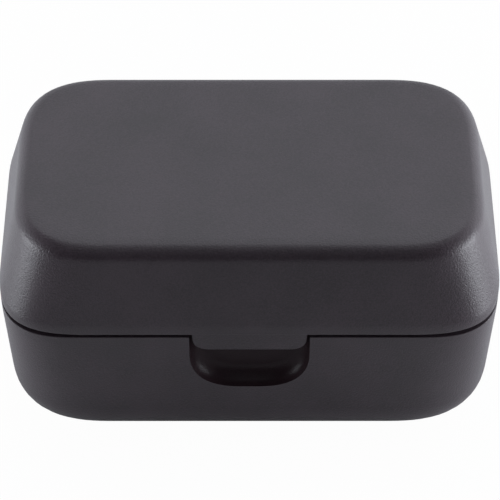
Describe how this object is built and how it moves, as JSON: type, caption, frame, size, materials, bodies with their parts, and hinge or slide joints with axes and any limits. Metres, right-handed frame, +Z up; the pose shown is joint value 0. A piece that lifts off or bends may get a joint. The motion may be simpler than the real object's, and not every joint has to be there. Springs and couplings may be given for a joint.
{
  "type": "wrist blood pressure monitor in case",
  "caption": "Hinged hard plastic case with tapered lid, thumb tab and finger recess, holding a wrist blood pressure monitor with its wound cuff, display, buttons, pump and cells.",
  "frame": {"origin": "middle of the case's flat underside", "axes": "+Z up, +X along the case's width to the right as seen from the front, -Y towards the front with the finger recess"},
  "size_m": [0.12, 0.0736, 0.0666],
  "materials": {
    "case_plastic": "fine-grained matt moulded plastic, near black",
    "housing_plastic": "satin moulded plastic, dark grey",
    "button_plastic": "satin moulded plastic, light grey",
    "part_plastic": "plain moulded plastic, off-white",
    "window_plastic": "clear-fronted window, black border",
    "lcd_glass": "reflective liquid crystal panel",
    "steel": "plated steel",
    "board": "green glass-fibre board",
    "chip_plastic": "black moulded package",
    "tube_rubber": "silicone tube",
    "cell_can": "plain sleeved cell",
    "cuff_fabric": "woven nylon, near black",
    "cuff_lining": "soft knitted lining"
  },
  "bodies": {
    "base": {"case_base": "case_plastic", "hinge_pin": "steel", "cuff_cover": "cuff_fabric", "cuff_curler": "part_plastic", "cuff_bladder": "cuff_lining", "cuff_hook_pad": "cuff_fabric", "cuff_air_nipple": "part_plastic", "monitor_bottom_housing": "housing_plastic", "monitor_top_housing": "housing_plastic", "display_window": "window_plastic", "lcd_panel": "lcd_glass", "circuit_board": "board", "start_switch": "chip_plastic", "memory_switch": "chip_plastic", "user_switch": "chip_plastic", "controller_chip": "chip_plastic", "pressure_sensor": "part_plastic", "pump_motor": "steel", "pump_head": "part_plastic", "release_valve": "steel", "air_manifold": "part_plastic", "pump_tube": "tube_rubber", "valve_tube": "tube_rubber", "battery_cell_1": "cell_can", "battery_cell_2": "cell_can", "battery_bridge_contact": "steel", "battery_positive_terminal": "steel", "battery_negative_terminal": "steel", "contact_spring_1": "steel", "contact_spring_2": "steel", "housing_screw_1": "steel", "housing_screw_2": "steel", "housing_screw_3": "steel", "housing_screw_4": "steel"},
    "lid": {"case_lid": "case_plastic"},
    "start_button": {"start_button": "button_plastic"},
    "memory_button": {"memory_button": "button_plastic"},
    "user_button": {"user_button": "button_plastic"},
    "battery_cover": {"battery_cover": "housing_plastic"}
  },
  "joints": [
    {"name": "lid_hinge", "type": "hinge", "parent": "base", "child": "lid", "pos_m": [0, 0.0363, 0.04243], "axis": [-1, 0, 0], "range_deg": [0, 110]},
    {"name": "start_press", "type": "slide", "parent": "base", "child": "start_button", "axis": [0, 0, -1], "range_m": [0, 0.0005], "stiffness_N_per_m": 800, "springref_m": -0.0005},
    {"name": "memory_press", "type": "slide", "parent": "base", "child": "memory_button", "axis": [0, 0, -1], "range_m": [0, 0.0005], "stiffness_N_per_m": 800, "springref_m": -0.0005},
    {"name": "user_press", "type": "slide", "parent": "base", "child": "user_button", "axis": [0, 0, -1], "range_m": [0, 0.0005], "stiffness_N_per_m": 800, "springref_m": -0.0005},
    {"name": "battery_cover_slide", "type": "slide", "parent": "base", "child": "battery_cover", "axis": [1, 0, 0], "range_m": [0, 0.006]}
  ]
}
